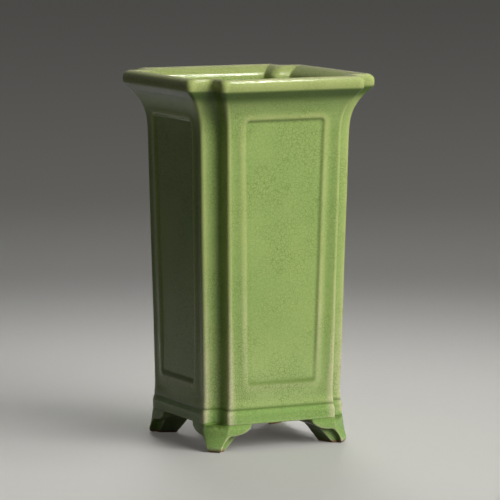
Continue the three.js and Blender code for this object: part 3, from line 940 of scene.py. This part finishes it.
print("materials: crackled glaze and bare clay")
glaze = crackledGlaze()
clay = bareClay()
for piece in [body] + feet:
    piece.data.materials.append(glaze)
floorSlab.data.materials.append(clay)


# Floor, lights and camera

studio = {
    "floorSize": 16.0,
    "floorLitNear": (0.52, 0.51, 0.48, 1),
    "floorDimFar": (0.20, 0.197, 0.187, 1),         # painted pool of light: the floor greys off away from the pot
    "floorReach": (0.25, 1.15),
    "floorSheen": (0.060, 0.059, 0.055, 1),      # least light of the floor to the camera
    "floorSheenFar": (0.030, 0.029, 0.027, 1),
    "floorRoughness": 0.7,
    "bounceColour": (0.14, 0.14, 0.12, 1),       # what the floor throws back at the pot
    "worldColour": (1.0, 1.0, 0.92, 1),
    "worldStrength": 0.032,
    "backdrop": (0.17, 0.168, 0.160, 1),
}

# Each lamp's place, what it faces, the way its second side lies, its size, watts and degrees of spread,
# and whether it shows in the glaze
lamps = {
    "keySoftbox": {
        "place": (0.98, -2.42, 1.58), "target": (0, 0, 0.16), "long": (0, 0, 1),
        "size": (2.1, 2.0), "watts": 93.0, "spread": 180, "inGlaze": False,
    },
    "overheadStrip": {
        "place": (2.70, -1.75, 5.38), "target": (-0.02, -0.08, 0.30), "long": (0, 0.93, 0.36),
        "size": (0.18, 4.2), "watts": 98.0, "spread": 180, "inGlaze": True,
    },
    "backSoftbox": {
        "place": (1.05, 2.60, 1.30), "target": (0, 0, 0.18), "long": (0, 0, 1),
        "size": (1.2, 1.0), "watts": 2.8, "spread": 40, "inGlaze": False,
    },
}

view = {                          # the photograph's camera, fitted to the pot's straight edges
    "azimuth": -26.511,
    "distance": 2.93393,
    "height": 0.50201,
    "turn": 0.0474,
    "down": 6.7661,
    "roll": 0.1154,
    "focal": 3618.61,             # in pixels of a frame 500 wide
    "frame": 500.0,
    "sensor": 36.0,
    "shift": (-0.0010, 0.0006),
    "clip": (0.05, 50.0),
}


def aimAt(thing, place, target, long):
    back = (Vector(place) - Vector(target)).normalized()
    across = Vector(long).cross(back).normalized()
    turned = Matrix((across, back.cross(across), back)).transposed().to_4x4()
    thing.matrix_world = Matrix.Translation(place) @ turned


# One for what the camera or a reflection sees, none for light that bounces
def seenRay(tree):
    path = addNode(tree, "ShaderNodeLightPath").outputs
    seen = maths(tree, "MAXIMUM", path["Is Camera Ray"], path["Is Glossy Ray"])
    return maths(tree, "MAXIMUM", seen, path["Is Transmission Ray"])


def buildStudioFloor():
    bm = bmesh.new()
    bmesh.ops.create_grid(bm, x_segments=1, y_segments=1, size=studio["floorSize"])
    ground = newPiece("studioFloor", bm)
    material, tree, place = newMaterial("paleFloor")
    # The floor's colour and glow hold a painted pool of light, pale near the pot and greying off away from
    # it
    away = addNode(tree, "ShaderNodeVectorMath", None, {0: place}, operation="LENGTH").outputs["Value"]
    away = rangeOf(tree, away, *studio["floorReach"])
    seen = seenRay(tree)
    pale = blendColour(tree, away, studio["floorLitNear"], studio["floorDimFar"])
    colour = blendColour(tree, seen, studio["bounceColour"], pale)
    sheen = blendColour(tree, away, studio["floorSheen"], studio["floorSheenFar"])
    shader = addNode(tree, "ShaderNodeBsdfPrincipled", {"Roughness": studio["floorRoughness"]},
                     {"Base Color": colour, "Emission Color": sheen, "Emission Strength": seen})
    addNode(tree, "ShaderNodeOutputMaterial", None, {"Surface": shader.outputs[0]})
    ground.data.materials.append(material)


def buildWorld():
    world = bpy.data.worlds.new("softStudio")
    world.use_nodes = True
    bpy.context.scene.world = world
    tree = world.node_tree
    background = tree.nodes["Background"]
    seen = seenRay(tree)
    colour = blendColour(tree, seen, studio["worldColour"], studio["backdrop"])
    strength = rangeOf(tree, seen, 0.0, 1.0, studio["worldStrength"], 1.0)
    feed(tree, (background.inputs["Color"], background.inputs["Strength"]), (colour, strength))


def buildLamps():
    for name, settings in lamps.items():
        light = bpy.data.lights.new(name, "AREA")
        light.shape = "RECTANGLE"
        light.size, light.size_y = settings["size"]
        light.energy = settings["watts"]
        light.spread = math.radians(settings["spread"])
        lamp = bpy.data.objects.new(name, light)
        bpy.context.scene.collection.objects.link(lamp)
        aimAt(lamp, settings["place"], settings["target"], settings["long"])
        lamp.visible_glossy = settings["inGlaze"]


def buildCamera():
    lens = bpy.data.cameras.new("photoLens")
    lens.sensor_width = view["sensor"]
    lens.lens = view["focal"] / view["frame"] * lens.sensor_width
    lens.shift_x, lens.shift_y = view["shift"]
    lens.clip_start, lens.clip_end = view["clip"]
    camera = bpy.data.objects.new("photoCamera", lens)
    bpy.context.scene.collection.objects.link(camera)
    azimuth = math.radians(-view["azimuth"])
    heading = azimuth + math.radians(view["turn"])
    down, roll = math.radians(view["down"]), math.radians(view["roll"])
    level = Vector((math.sin(heading), math.cos(heading), 0))
    right = Vector((level.y, -level.x, 0))
    forward = level * math.cos(down) - Vector((0, 0, math.sin(down)))
    up = level * math.sin(down) + Vector((0, 0, math.cos(down)))
    tiltedRight = right * math.cos(roll) + up * math.sin(roll)
    tiltedUp = up * math.cos(roll) - right * math.sin(roll)
    turned = Matrix((tiltedRight, tiltedUp, -forward)).transposed().to_4x4()
    place = Vector((-math.sin(azimuth), -math.cos(azimuth), 0)) * view["distance"]
    place.z = view["height"]
    camera.matrix_world = Matrix.Translation(place) @ turned
    bpy.context.scene.camera = camera


print("stage: floor, lamps and camera")
buildStudioFloor()
buildWorld()
buildLamps()
buildCamera()
bpy.context.scene.view_settings.view_transform = "Standard"

bpy.context.view_layer.update()
